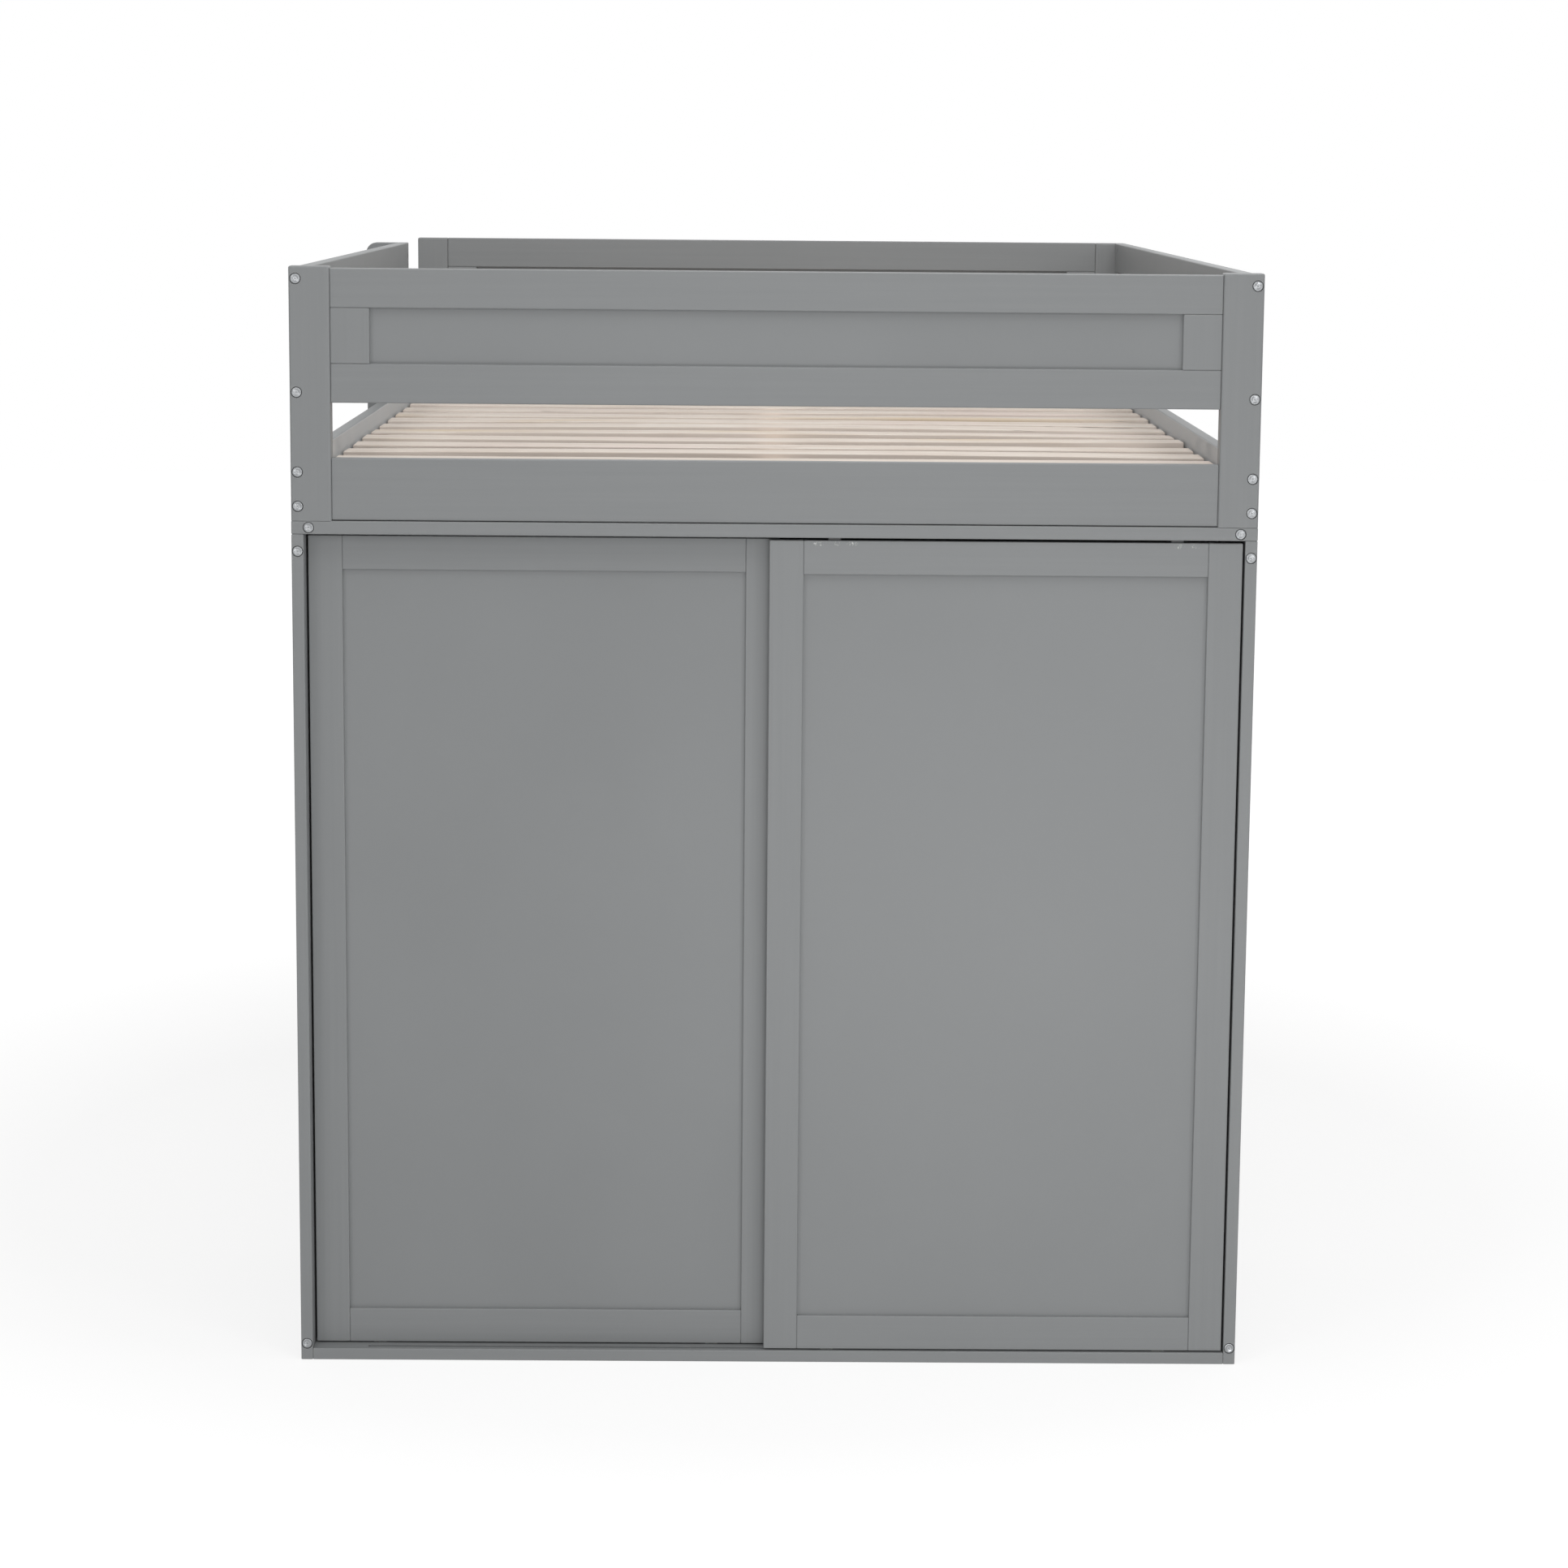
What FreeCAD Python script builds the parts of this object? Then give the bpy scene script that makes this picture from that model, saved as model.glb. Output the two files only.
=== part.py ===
import FreeCAD
import Part
import os

# Full-size loft bed that stands on a wardrobe with two bypass sliding doors.
# Lengths are millimetres. X runs across the bed, Y from the doors to the far end, Z up.
# The model is laid out from the middle of the door face at floor level, and each piece is then
# shifted so that the origin is at the middle of the floor under the whole bed and its ladder.

# Mattress space
mattress_width = 1372.0
mattress_length = 1905.0
mattress_side_room = 12.0
mattress_end_room = 10.0

# Posts
post_width = 60.0
post_depth = 28.0
post_rise = 3.0
post_round = 3.0

# Boards of the bed frame
board_thickness = 20.0
board_round = 2.0
end_chamfer = 1.0
side_rail_height = 92.0
rail_seam = 1.0
guard_gap = 82.0
guard_rail_height = 58.0
guard_panel_height = 82.0
guard_stile_width = 58.0
stretcher_height = 58.0
low_stretcher_level = 200.0
high_stretcher_level = 720.0

# Tenons of the end boards in the posts
tenon_length = 15.0
tenon_thickness = 10.0
tenon_shoulder = 8.0
tenon_play = 0.2
tenon_end_room = 1.0

# Panels that float in grooved frames
panel_thickness = 5.0
groove_depth = 8.0
groove_play = 0.2
tongue_end_room = 0.5
tongue_shoulder = 1.6
panel_edge_room = 1.0

# Wardrobe carcass
wardrobe_depth = 540.0
side_height = 1275.0
side_thickness = 18.0
member_width = 51.0
member_round = 1.4
top_thickness = 20.0
bottom_thickness = 18.0
back_inset = 12.0
back_groove_depth = 6.0

# Hanging rail
hanger_tube_radius = 12.5
hanger_tube_wall = 1.2
hanger_cup_wall = 2.0
hanger_cup_length = 16.0
hanger_flange_radius = 24.0
hanger_flange_thickness = 3.0
hanger_fit_play = 0.2
hanger_saddle_width = 20.0
hanger_saddle_plate_length = 46.0
hanger_saddle_neck = 6.0

# Sliding doors
door_thickness = 18.0
door_setback = 4.0
door_pass_gap = 5.0
door_side_gap = 3.0
door_overlap = 16.0
door_top_gap = 4.0
door_bottom_gap = 2.0
door_stile_width = 51.0
door_top_rail_height = 51.0
door_bottom_rail_height = 53.0

# Rollers under the doors and guides above them
runner_inset = 97.0
runner_groove_width = 8.0
runner_end_room = 5.0
roller_radius = 11.0
roller_width = 5.0
roller_rim = 2.5
roller_hub_radius = 4.5
roller_web = 2.6
roller_round = 0.8
roller_floor_gap = 0.3
roller_track_depth = 6.0
axle_radius = 2.0
axle_running_play = 0.05
axle_seat_play = 0.02
housing_cheek = 1.6
housing_side_play = 0.4
housing_wheel_room = 1.2
housing_end_wall = 5.0
mortise_play = 0.1
guide_track_depth = 8.0
guide_tongue_length = 20.0
guide_tongue_width = 6.0
guide_tongue_top_room = 3.0
guide_base_length = 36.0
guide_base_width = 9.0
guide_base_depth = 4.0
guide_round = 2.5

# Slatted deck
slat_count = 14
slat_width = 68.0
slat_thickness = 16.0
slat_drop = 29.0
slat_end_room = 4.0
slat_near_room = 24.0
slat_far_room = 90.0
slat_round = 1.5
ledger_width = 28.0
ledger_height = 28.0
beam_width = 40.0
beam_height = 44.0
beam_hanger_plate = 2.0
beam_hanger_reach = 40.0
beam_hanger_ear = 16.0

# Ladder
ladder_opening = 390.0
upright_width = 58.0
upright_depth = 28.0
upright_corner_radius = 20.0
tread_count = 4
tread_thickness = 22.0
tread_width = 54.0
tread_housing = 4.0
tread_play = 0.1
far_upright_bolt_shares = (0.35, 0.9)

# Bolts with barrel nuts
bolt_head_radius = 7.5
bolt_head_height = 2.6
bolt_head_round = 1.2
bolt_head_recess = 0.4
bolt_dish_radius = 5.2
bolt_dish_floor_radius = 3.2
bolt_dish_depth = 0.5
bolt_socket_radius = 2.4
bolt_socket_depth = 1.8
bolt_shank_radius = 3.0
bolt_reach = 45.0
bolt_hole_radius = 3.5
bolt_hole_spare = 5.0
counterbore_radius = 8.5
nut_radius = 5.0
nut_length = 13.0
nut_depth = 35.0
nut_hole_play = 0.1
nut_thread_play = 0.05
nut_slot_width = 1.2
nut_slot_depth = 1.0
guard_bolt_inset = 15.5
rail_bolt_inset = 20.5

# Pins that locate the near posts on the wardrobe
pin_radius = 5.0
pin_post_depth = 40.0
pin_rail_depth = 15.0
pin_play = 0.05
pin_end_room = 1.0

# How far cutting shapes run past the faces they cut
overrun = 5.0

X_AXIS = FreeCAD.Vector(1, 0, 0)
Y_AXIS = FreeCAD.Vector(0, 1, 0)
Z_AXIS = FreeCAD.Vector(0, 0, 1)
SIDES = (-1, 1)
parallel_share = 0.999

# Levels and places worked out from the sizes above
bed_width = mattress_width + 2 * (mattress_side_room + board_thickness)
bed_length = mattress_length + 2 * (mattress_end_room + post_depth)
half_width = bed_width / 2
post_inner = half_width - post_width
board_inner = half_width - board_thickness
far_post_y = bed_length - post_depth
near_frame_y = post_depth / 2
far_frame_y = bed_length - post_depth / 2
top_level = side_height + top_thickness
rail_bottom = top_level + rail_seam
rail_top = rail_bottom + side_rail_height
guard_bottom = rail_top + guard_gap
guard_panel_bottom = guard_bottom + guard_rail_height
guard_panel_top = guard_panel_bottom + guard_panel_height
guard_top = guard_panel_top + guard_rail_height
post_top = guard_top + post_rise
ladder_near_y = far_post_y - ladder_opening
slat_top = rail_top - slat_drop
slat_bottom = slat_top - slat_thickness
groove_width = panel_thickness + groove_play
tongue_length = groove_depth - tongue_end_room
panel_lap = groove_depth - panel_edge_room
inner_half = half_width - side_thickness
door_width = (2 * inner_half + door_overlap) / 2 - door_side_gap
door_bottom = bottom_thickness + door_bottom_gap
door_top = side_height - door_top_gap
front_door_y = door_setback + door_thickness / 2
rear_door_y = front_door_y + door_thickness + door_pass_gap
runner_reach = inner_half - door_side_gap - runner_inset
axle_level = bottom_thickness - roller_track_depth + roller_floor_gap + roller_radius
back_rear_y = wardrobe_depth - back_inset
back_front_y = back_rear_y - panel_thickness
hanger_y = (rear_door_y + door_thickness / 2 + back_front_y) / 2
hanger_level = side_height - member_width / 2
counterbore_depth = bolt_head_height + bolt_head_recess
origin_shift = FreeCAD.Vector(upright_width / 2, -bed_length / 2, 0)


def box(x, y, z):
    """Block between pairs of limits along the three axes."""
    corner = FreeCAD.Vector(x[0], y[0], z[0])
    return Part.makeBox(x[1] - x[0], y[1] - y[0], z[1] - z[0], corner)


def about(middle, size):
    """Limits of a size centred on a place."""
    return (middle - size / 2, middle + size / 2)


def mirrored(side, low, high):
    """Limits at one side of the centreline, in rising order."""
    return tuple(sorted((side * low, side * high)))


def runs_along(edge, axis):
    """Whether the line between an edge's ends runs along an axis."""
    run = edge.Vertexes[-1].Point.sub(edge.Vertexes[0].Point)
    return run.Length > 0 and abs(run.normalize().dot(axis)) > parallel_share


def edges_along(shape, axis):
    """Edges of a shape that run along an axis."""
    return [edge for edge in shape.Edges if runs_along(edge, axis)]


def board(x, y, z, axis, radius=board_round):
    """Board with its long edges rounded and its ends chamfered."""
    block = box(x, y, z)
    block = block.makeFillet(radius, edges_along(block, axis))
    ends = [edge for edge in block.Edges if not runs_along(edge, axis)]
    return block.makeChamfer(end_chamfer, ends)


def turned(shape):
    """Shape laid out along X, turned to run along Y, with its thickness towards -X."""
    result = shape.copy()
    result.rotate(FreeCAD.Vector(), Z_AXIS, 90)
    return result


def moved(shape, x, y, z):
    """Copy of a shape at another place."""
    result = shape.copy()
    result.translate(FreeCAD.Vector(x, y, z))
    return result


def upright_on(shape, point, direction):
    """Copy of a shape built along +Z, set at a point to run in a direction."""
    result = shape.copy()
    turn = FreeCAD.Rotation(Z_AXIS, direction)
    result.Placement = FreeCAD.Placement(point, turn)
    return result


def rod(radius, start, end):
    """Round bar along Z between two heights."""
    return Part.makeCylinder(radius, end - start, FreeCAD.Vector(0, 0, start))


# Bolted joints: each has a bolt, its barrel nut and the holes that both need
class BoltedJoint:
    def __init__(self, point, direction, through, nut_side, nut_face):
        self.point = FreeCAD.Vector(*point)
        self.direction = direction
        self.through = through
        self.nut_side = nut_side
        self.nut_face = nut_face

    def nut_centre(self):
        return self.point + self.direction * (self.through + nut_depth)

    def bolt(self):
        """Bolt with a rounded rim and a dished face round its hexagon socket."""
        head = rod(bolt_head_radius, bolt_head_recess, counterbore_depth)
        rim = [edge for edge in head.Edges if edge.BoundBox.ZMax < counterbore_depth]
        rim = [edge for edge in rim if edge.Closed]
        head = head.makeFillet(bolt_head_round, rim)
        face = FreeCAD.Vector(0, 0, bolt_head_recess)
        dish = Part.makeCone(bolt_dish_radius, bolt_dish_floor_radius, bolt_dish_depth, face)
        socket = Part.makePolygon(hexagon(bolt_socket_radius))
        socket = Part.Face(socket).extrude(Z_AXIS * (bolt_socket_depth + overrun))
        socket.translate(face - Z_AXIS * overrun)
        shank = rod(bolt_shank_radius, counterbore_depth, self.through + bolt_reach)
        return upright_on(head.cut(dish).cut(socket).fuse(shank), self.point, self.direction)

    def nut(self):
        """Barrel nut with a screwdriver slot in line with its bolt."""
        nut = rod(nut_radius, -nut_length / 2, nut_length / 2)
        slot_z = (nut_length / 2 - nut_slot_depth, nut_length / 2 + overrun)
        nut = nut.cut(box(about(0, 2 * (nut_radius + overrun)), about(0, nut_slot_width), slot_z))
        turn = FreeCAD.Rotation(self.direction, FreeCAD.Vector(), self.nut_side, "ZXY")
        nut.Placement = FreeCAD.Placement(self.nut_centre(), turn)
        thread_radius = bolt_shank_radius + nut_thread_play
        thread = rod(thread_radius, counterbore_depth, self.through + bolt_reach + overrun)
        return nut.cut(upright_on(thread, self.point, self.direction))

    def holes(self):
        seat = rod(counterbore_radius, -overrun, counterbore_depth)
        hole_end = self.through + bolt_reach + bolt_hole_spare
        drill = seat.fuse(rod(bolt_hole_radius, counterbore_depth, hole_end))
        drill = upright_on(drill, self.point, self.direction)
        pocket = rod(nut_radius + nut_hole_play, -nut_length / 2, self.nut_face + overrun)
        return drill.fuse(upright_on(pocket, self.nut_centre(), self.nut_side))


def hexagon(radius):
    """Closed outline of a hexagon in the XY plane, by its corner radius."""
    corner = FreeCAD.Vector(radius, 0, 0)
    turns = [FreeCAD.Rotation(Z_AXIS, 360 * step / 6) for step in range(7)]
    return [turn.multVec(corner) for turn in turns]


def post_joints():
    """Bolts through the posts into the ends of the guards and side rails."""
    guard_levels = (guard_top - guard_bolt_inset, guard_bottom + guard_bolt_inset)
    rail_levels = (rail_top - rail_bolt_inset, rail_bottom + rail_bolt_inset)
    joints = []
    for side in SIDES:
        x = side * (half_width - board_thickness / 2)
        inward = X_AXIS * -side
        far_levels = rail_levels if side < 0 else guard_levels + rail_levels
        for level in guard_levels + rail_levels:
            joints.append(BoltedJoint((x, 0, level), Y_AXIS, post_depth, inward, board_thickness / 2))
        for level in far_levels:
            point = (x, bed_length, level)
            joints.append(BoltedJoint(point, Y_AXIS * -1, post_depth, inward, board_thickness / 2))
    return joints


def carcass_joints():
    """Bolts through the wardrobe's front and rear members into its side frames and top."""
    joints = []
    for side in SIDES:
        inward = X_AXIS * -side
        stile_x = side * (half_width - side_thickness / 2)
        top_x = side * (half_width - member_width / 2)
        top_z = side_height + top_thickness / 2
        for y, run in ((0, Y_AXIS), (wardrobe_depth, Y_AXIS * -1)):
            for level in (member_width / 2, side_height - member_width / 2):
                point = (stile_x, y, level)
                joints.append(BoltedJoint(point, run, member_width, inward, side_thickness / 2))
            point = (top_x, y, top_z)
            joints.append(BoltedJoint(point, run, member_width, Z_AXIS * -1, top_thickness / 2))
    return joints


def tread_levels():
    """Middle heights of the treads, evenly spaced up to the side rail's top."""
    step = rail_top / (tread_count + 1)
    return [step * (index + 1) - tread_thickness / 2 for index in range(tread_count)]


def ladder_joints():
    """Bolts that hold the ladder to the bed and the treads to the uprights."""
    outward = X_AXIS * -1
    near_middle = ladder_near_y - upright_depth / 2
    tread_x = -half_width - upright_width / 2
    half_rail = guard_rail_height / 2
    near_levels = ((slat_top + rail_top) / 2, guard_bottom + half_rail, guard_top - half_rail)
    joints = []
    for level in near_levels:
        point = (-board_inner, near_middle, level)
        joints.append(BoltedJoint(point, outward, board_thickness, Y_AXIS * -1, upright_depth / 2))
    for share in far_upright_bolt_shares:
        point = (-post_inner, far_frame_y, share * rail_bottom)
        joints.append(BoltedJoint(point, outward, post_width, Y_AXIS, upright_depth / 2))
    through = upright_depth - tread_housing
    for level in tread_levels():
        near_point = (tread_x, ladder_near_y - upright_depth, level)
        far_point = (tread_x, bed_length, level)
        for point, run in ((near_point, Y_AXIS), (far_point, Y_AXIS * -1)):
            joints.append(BoltedJoint(point, run, through, Z_AXIS * -1, tread_thickness / 2))
    return joints


joints = post_joints() + carcass_joints() + ladder_joints()
bolt_holes = [joint.holes() for joint in joints]


def drilled(shape):
    """Shape with the holes of every bolted joint that meets it."""
    for hole in bolt_holes:
        if shape.BoundBox.intersect(hole.BoundBox):
            shape = shape.cut(hole)
    return shape


def export(name, *shapes):
    """Write the solids of one node, drilled and moved to the part's own origin."""
    solids = []
    for shape in shapes:
        solids.extend(drilled(shape).Solids)
    write_node(name, solids)


def write_node(name, solids):
    group = solids[0] if len(solids) == 1 else Part.makeCompound(solids)
    group = group.copy()
    group.translate(origin_shift)
    group.exportStep("parts/" + name + ".step")


# Posts with their mortises, and the boards tenoned between them
def tenon_limits(level, height, play):
    return (level + tenon_shoulder - play, level + height - tenon_shoulder + play)


def end_board(middle_y, level, height):
    """Board between two posts, with a tenon at each end."""
    x = (-post_inner, post_inner)
    plank = board(x, about(middle_y, board_thickness), (level, level + height), X_AXIS)
    tenon_x = (-post_inner - tenon_length, post_inner + tenon_length)
    tenon = box(tenon_x, about(middle_y, tenon_thickness), tenon_limits(level, height, 0))
    return plank.fuse(tenon).removeSplitter()


def mortises(middle_y, level, height):
    """Pockets that take the tenons of one board, at both ends."""
    reach = post_inner + tenon_length + tenon_end_room
    y = about(middle_y, tenon_thickness + 2 * tenon_play)
    return box((-reach, reach), y, tenon_limits(level, height, tenon_play))


def post(side, y, base, top):
    """Post with rounded corners and top."""
    block = box(mirrored(side, post_inner, half_width), y, (base, top))
    top_edges = [edge for edge in block.Edges if edge.BoundBox.ZMin > top - post_round]
    return block.makeFillet(post_round, edges_along(block, Z_AXIS) + top_edges)


def pin_place(side):
    return FreeCAD.Vector(side * (half_width - post_width / 2), near_frame_y, top_level)


def pin_hole(side):
    radius = pin_radius + pin_play
    hole = rod(radius, -pin_rail_depth, pin_post_depth + pin_end_room)
    return moved(hole, *pin_place(side))


def make_posts():
    guard_levels = (guard_bottom, guard_panel_top)
    shared = [(level, guard_rail_height) for level in guard_levels]
    shared.append((rail_bottom, side_rail_height))
    lower = [(level, stretcher_height) for level in (low_stretcher_level, high_stretcher_level)]
    for name, side in (("left", -1), ("right", 1)):
        near = post(side, (0, post_depth), top_level, post_top).cut(pin_hole(side))
        far = post(side, (far_post_y, bed_length), 0, guard_top)
        for level, height in shared:
            near = near.cut(mortises(near_frame_y, level, height))
        for level, height in shared + lower:
            far = far.cut(mortises(far_frame_y, level, height))
        export("near_" + name + "_post", near)
        export("far_" + name + "_post", far)
    export("near_end_board", end_board(near_frame_y, rail_bottom, side_rail_height))
    export("far_end_board", end_board(far_frame_y, rail_bottom, side_rail_height))
    stretchers = [end_board(far_frame_y, level, height) for level, height in lower]
    export("far_end_stretchers", *stretchers)


def make_post_pins():
    pins = [moved(rod(pin_radius, -pin_rail_depth, pin_post_depth), *pin_place(side)) for side in SIDES]
    export("post_pins", *pins)


# Guards: two rails with short stiles and a recessed panel between them
def panel_grooves(x, y_middle):
    """Grooves for a guard's panel, above its bottom rail and below its top rail."""
    y = about(y_middle, groove_width)
    low = box(x, y, (guard_panel_bottom - groove_depth, guard_panel_bottom + overrun))
    high = box(x, y, (guard_panel_top - overrun, guard_panel_top + groove_depth))
    return low.fuse(high)


def guard_stile(x, inner_x, y_middle):
    """Short stile with a tongue at each end and a groove towards the panel."""
    z = (guard_panel_bottom, guard_panel_top)
    tongue_x = (x[0] + tongue_shoulder, x[1] - tongue_shoulder)
    tongue_z = (z[0] - tongue_length, z[1] + tongue_length)
    stile = board(x, about(y_middle, board_thickness), z, Z_AXIS, member_round)
    stile = stile.fuse(box(tongue_x, about(y_middle, panel_thickness), tongue_z)).removeSplitter()
    groove_z = (tongue_z[0] - overrun, tongue_z[1] + overrun)
    return stile.cut(box(about(inner_x, 2 * groove_depth), about(y_middle, groove_width), groove_z))


def guard_stiles(x, y_middle):
    left_inner, right_inner = x[0] + guard_stile_width, x[1] - guard_stile_width
    left = guard_stile((x[0], left_inner), left_inner, y_middle)
    return [left, guard_stile((right_inner, x[1]), right_inner, y_middle)]


def guard_panel(x, y_middle):
    edge = guard_stile_width - panel_lap
    z = (guard_panel_bottom - panel_lap, guard_panel_top + panel_lap)
    return box((x[0] + edge, x[1] - edge), about(y_middle, panel_thickness), z)


def end_guard(prefix, y_middle):
    """Guard between the posts of one end; returns its stiles and panel."""
    x = (-post_inner, post_inner)
    grooves = panel_grooves((x[0] - overrun - tenon_length, x[1] + overrun + tenon_length), y_middle)
    bottom = end_board(y_middle, guard_bottom, guard_rail_height)
    top = end_board(y_middle, guard_panel_top, guard_rail_height)
    export(prefix + "_guard_bottom_rail", bottom.cut(grooves))
    export(prefix + "_guard_top_rail", top.cut(grooves))
    return guard_stiles(x, y_middle), guard_panel(x, y_middle)


def side_guard(prefix, side, far_end):
    """Guard along one side, from the near post to its far end; returns its stiles and panel."""
    x = (post_depth, far_end)
    y_middle = -side * (half_width - board_thickness / 2)
    y = about(y_middle, board_thickness)
    grooves = panel_grooves((x[0] - overrun, x[1] + overrun), y_middle)
    bottom = board(x, y, (guard_bottom, guard_panel_bottom), X_AXIS).cut(grooves)
    top = board(x, y, (guard_panel_top, guard_top), X_AXIS).cut(grooves)
    export(prefix + "_guard_bottom_rail", turned(bottom))
    export(prefix + "_guard_top_rail", turned(top))
    return [turned(stile) for stile in guard_stiles(x, y_middle)], turned(guard_panel(x, y_middle))


def make_guards():
    guards = [end_guard("near", near_frame_y), end_guard("far", far_frame_y)]
    guards.append(side_guard("left", -1, ladder_near_y))
    guards.append(side_guard("right", 1, far_post_y))
    export("guard_stiles", *[stile for stiles, panel in guards for stile in stiles])
    export("guard_panels", *[panel for stiles, panel in guards])


# Slatted deck between the side rails
def make_deck():
    y = (post_depth, far_post_y)
    ledgers = []
    for name, side in (("left", -1), ("right", 1)):
        rail = board(mirrored(side, board_inner, half_width), y, (rail_bottom, rail_top), Y_AXIS)
        export(name + "_side_rail", rail)
        ledger_x = mirrored(side, board_inner - ledger_width, board_inner)
        ledgers.append(board(ledger_x, y, (slat_bottom - ledger_height, slat_bottom), Y_AXIS))
    export("slat_ledgers", *ledgers)
    first = y[0] + slat_near_room
    pitch = (y[1] - slat_far_room - slat_width - first) / (slat_count - 1)
    reach = board_inner - slat_end_room
    slats = []
    for index in range(slat_count):
        start = first + index * pitch
        slat_y = (start, start + slat_width)
        slats.append(board((-reach, reach), slat_y, (slat_bottom, slat_top), X_AXIS, slat_round))
    export("bed_slats", *slats)


def beam_hanger(face_y, run):
    """Folded plate on an end board, with a stirrup under the centre beam's end."""
    outer = beam_width + 2 * beam_hanger_plate
    base = slat_bottom - beam_height
    z = (base - beam_hanger_plate, slat_bottom - beam_hanger_plate)
    plate_y = tuple(sorted((face_y, face_y + run * beam_hanger_plate)))
    reach_y = tuple(sorted((face_y, face_y + run * beam_hanger_reach)))
    hollow_y = tuple(sorted((face_y + run * beam_hanger_plate, face_y + run * (beam_hanger_reach + overrun))))
    plate = box(about(0, outer + 2 * beam_hanger_ear), plate_y, z)
    stirrup = box(about(0, outer), reach_y, z)
    hollow = box(about(0, beam_width), hollow_y, (base, slat_bottom))
    return plate.fuse(stirrup).cut(hollow).removeSplitter()


def make_centre_beam():
    near_face = near_frame_y + board_thickness / 2
    far_face = far_frame_y - board_thickness / 2
    y = (near_face + beam_hanger_plate, far_face - beam_hanger_plate)
    export("centre_beam", board(about(0, beam_width), y, (slat_bottom - beam_height, slat_bottom), Y_AXIS))
    export("beam_hangers", beam_hanger(near_face, 1), beam_hanger(far_face, -1))


# Ladder at the far end of the left side
def upright(y, top, corner_radius):
    """Ladder upright with its outer top corner rounded off."""
    block = box((-half_width - upright_width, -half_width), y, (0, top))
    outer = -half_width - upright_width
    corner = [e for e in edges_along(block, Y_AXIS) if e.BoundBox.ZMin > 0 and e.BoundBox.XMax < -half_width]
    block = block.makeFillet(corner_radius, corner)
    long_edges = [e for e in edges_along(block, Z_AXIS) if e.BoundBox.XMin < outer + corner_radius]
    return block.makeFillet(board_round, long_edges)


def make_ladder():
    x_middle = -half_width - upright_width / 2
    treads = []
    pockets = []
    for level in tread_levels():
        y = (ladder_near_y - tread_housing, far_post_y + tread_housing)
        z = about(level, tread_thickness)
        treads.append(board(about(x_middle, tread_width), y, z, Y_AXIS))
        pocket = board(about(x_middle, tread_width + 2 * tread_play), y,
                       about(level, tread_thickness + 2 * tread_play), Y_AXIS)
        pockets.append(pocket)
    near = upright((ladder_near_y - upright_depth, ladder_near_y), guard_top, upright_corner_radius)
    far = upright((far_post_y, far_post_y + upright_depth), rail_top, upright_corner_radius)
    for pocket in pockets:
        near = near.cut(pocket)
        far = far.cut(pocket)
    export("ladder_near_upright", near)
    export("ladder_far_upright", far)
    export("ladder_treads", *treads)


# Frame-and-panel leaves: two stiles, two rails and a flat panel, laid out along X from zero
class Leaf:
    def __init__(self, width, bottom, top, thickness, stile, top_rail, bottom_rail):
        self.width, self.thickness, self.stile = width, thickness, stile
        self.z = (bottom, top)
        self.panel_z = (bottom + bottom_rail, top - top_rail)

    def stiles(self):
        y = (-self.thickness / 2, self.thickness / 2)
        groove_z = (self.z[0] - overrun, self.z[1] + overrun)
        made = []
        for x, inner in (((0, self.stile), self.stile),
                         ((self.width - self.stile, self.width), self.width - self.stile)):
            groove = box(about(inner, 2 * groove_depth), about(0, groove_width), groove_z)
            made.append(board(x, y, self.z, Z_AXIS, member_round).cut(groove))
        return made

    def rails(self):
        x = (self.stile, self.width - self.stile)
        tongue_x = (x[0] - tongue_length, x[1] + tongue_length)
        y = (-self.thickness / 2, self.thickness / 2)
        groove_x = (tongue_x[0] - overrun, tongue_x[1] + overrun)
        made = []
        for z, inner in (((self.z[0], self.panel_z[0]), self.panel_z[0]),
                         ((self.panel_z[1], self.z[1]), self.panel_z[1])):
            tongue_z = (z[0] + tongue_shoulder, z[1] - tongue_shoulder)
            rail = board(x, y, z, X_AXIS, member_round)
            rail = rail.fuse(box(tongue_x, about(0, panel_thickness), tongue_z)).removeSplitter()
            groove = box(groove_x, about(0, groove_width), about(inner, 2 * groove_depth))
            made.append(rail.cut(groove))
        return made

    def panel(self):
        edge = self.stile - panel_lap
        z = (self.panel_z[0] - panel_lap, self.panel_z[1] + panel_lap)
        return box((edge, self.width - edge), about(0, panel_thickness), z)


# Wardrobe carcass
def back_panel(play):
    reach = inner_half + back_groove_depth - play
    z = (bottom_thickness - back_groove_depth + play, side_height + back_groove_depth - play)
    return box((-reach, reach), (back_front_y, back_rear_y), z)


def back_groove():
    """Room for the back panel in the members around it."""
    reach = inner_half + back_groove_depth
    z = (bottom_thickness - back_groove_depth, side_height + back_groove_depth)
    middle = (back_front_y + back_rear_y) / 2
    return box((-reach, reach), about(middle, groove_width), z)


def make_wardrobe_sides():
    leaf = Leaf(wardrobe_depth, 0, side_height, side_thickness, member_width, member_width, member_width)
    for name, side in (("left", -1), ("right", 1)):
        x = side * (half_width - side_thickness / 2)
        stiles = [moved(turned(stile), x, 0, 0).cut(back_groove()) for stile in leaf.stiles()]
        export("wardrobe_" + name + "_stiles", *stiles)
        export("wardrobe_" + name + "_rails", *[moved(turned(rail), x, 0, 0) for rail in leaf.rails()])
        export("wardrobe_" + name + "_panel", moved(turned(leaf.panel()), x, 0, 0))


def runner_grooves(level, depth, half_length):
    """Pair of stopped grooves along the two doors' paths, about one face."""
    z = about(level, 2 * depth)
    x = (-half_length, half_length)
    front = box(x, about(front_door_y, runner_groove_width), z)
    return front.fuse(box(x, about(rear_door_y, runner_groove_width), z))


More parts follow.
